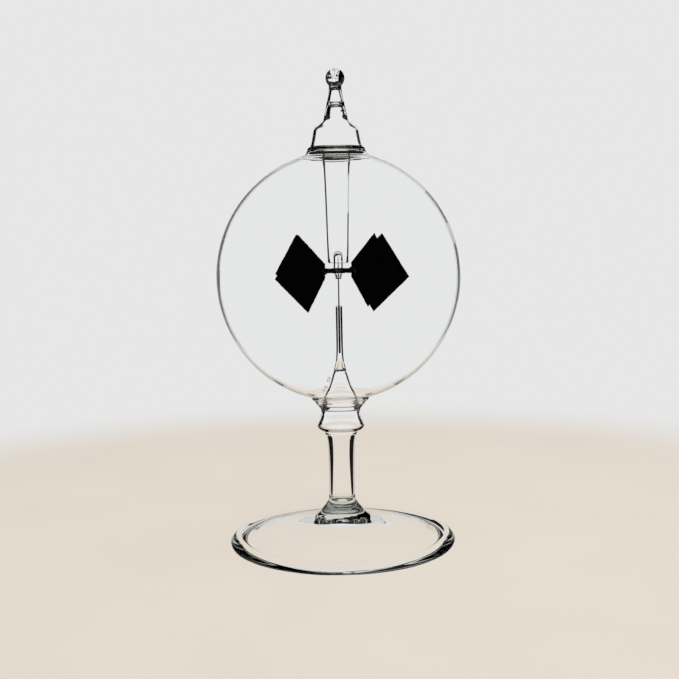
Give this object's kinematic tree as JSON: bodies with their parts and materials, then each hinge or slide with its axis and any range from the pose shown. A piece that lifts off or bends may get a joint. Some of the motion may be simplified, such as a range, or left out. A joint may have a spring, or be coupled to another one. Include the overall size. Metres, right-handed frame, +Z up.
{
  "type": "crookes radiometer",
  "caption": "Light mill: a sealed blown glass globe on a stem and round foot, with black diamond vanes that spin on a needle inside it when light falls on them.",
  "frame": {"origin": "on the needle's axis, in the plane of the flat ground ring under the foot", "axes": "+Z up along the needle's axis; -Y is the front; the vanes rest at 48.3 degrees from +X and at each quarter turn from there"},
  "size_m": [0.1198, 0.1198, 0.2362],
  "materials": {
    "clear_glass": "clear flame-worked glass, polished, faint grey-green in thick places",
    "needle_steel": "drawn steel wire, dull",
    "arm_metal": "thin folded strip, darkened",
    "lamp_black": "lamp black on mica, dead matt"
  },
  "bodies": {
    "stand": {"foot": "clear_glass", "stem_flare": "clear_glass", "stem_tube": "clear_glass", "knop": "clear_glass", "lower_collar": "clear_glass", "bulb": "clear_glass", "seal_ring": "clear_glass", "cap": "clear_glass", "drawn_tip": "clear_glass", "finial_ball": "clear_glass", "guide_tube": "clear_glass", "support_cone": "clear_glass", "needle_holder": "clear_glass", "needle": "needle_steel"},
    "rotor": {"bearing_cup": "clear_glass", "hub_ring": "arm_metal", "arm_1": "arm_metal", "arm_2": "arm_metal", "arm_3": "arm_metal", "arm_4": "arm_metal", "vane_clip_1": "arm_metal", "vane_clip_2": "arm_metal", "vane_clip_3": "arm_metal", "vane_clip_4": "arm_metal", "vane_1": "lamp_black", "vane_2": "lamp_black", "vane_3": "lamp_black", "vane_4": "lamp_black"}
  },
  "joints": [
    {"name": "rotor_spin", "type": "hinge", "parent": "stand", "child": "rotor", "pos_m": [0, 0, 0.1457], "axis": [0, 0, 1], "continuous": true}
  ]
}
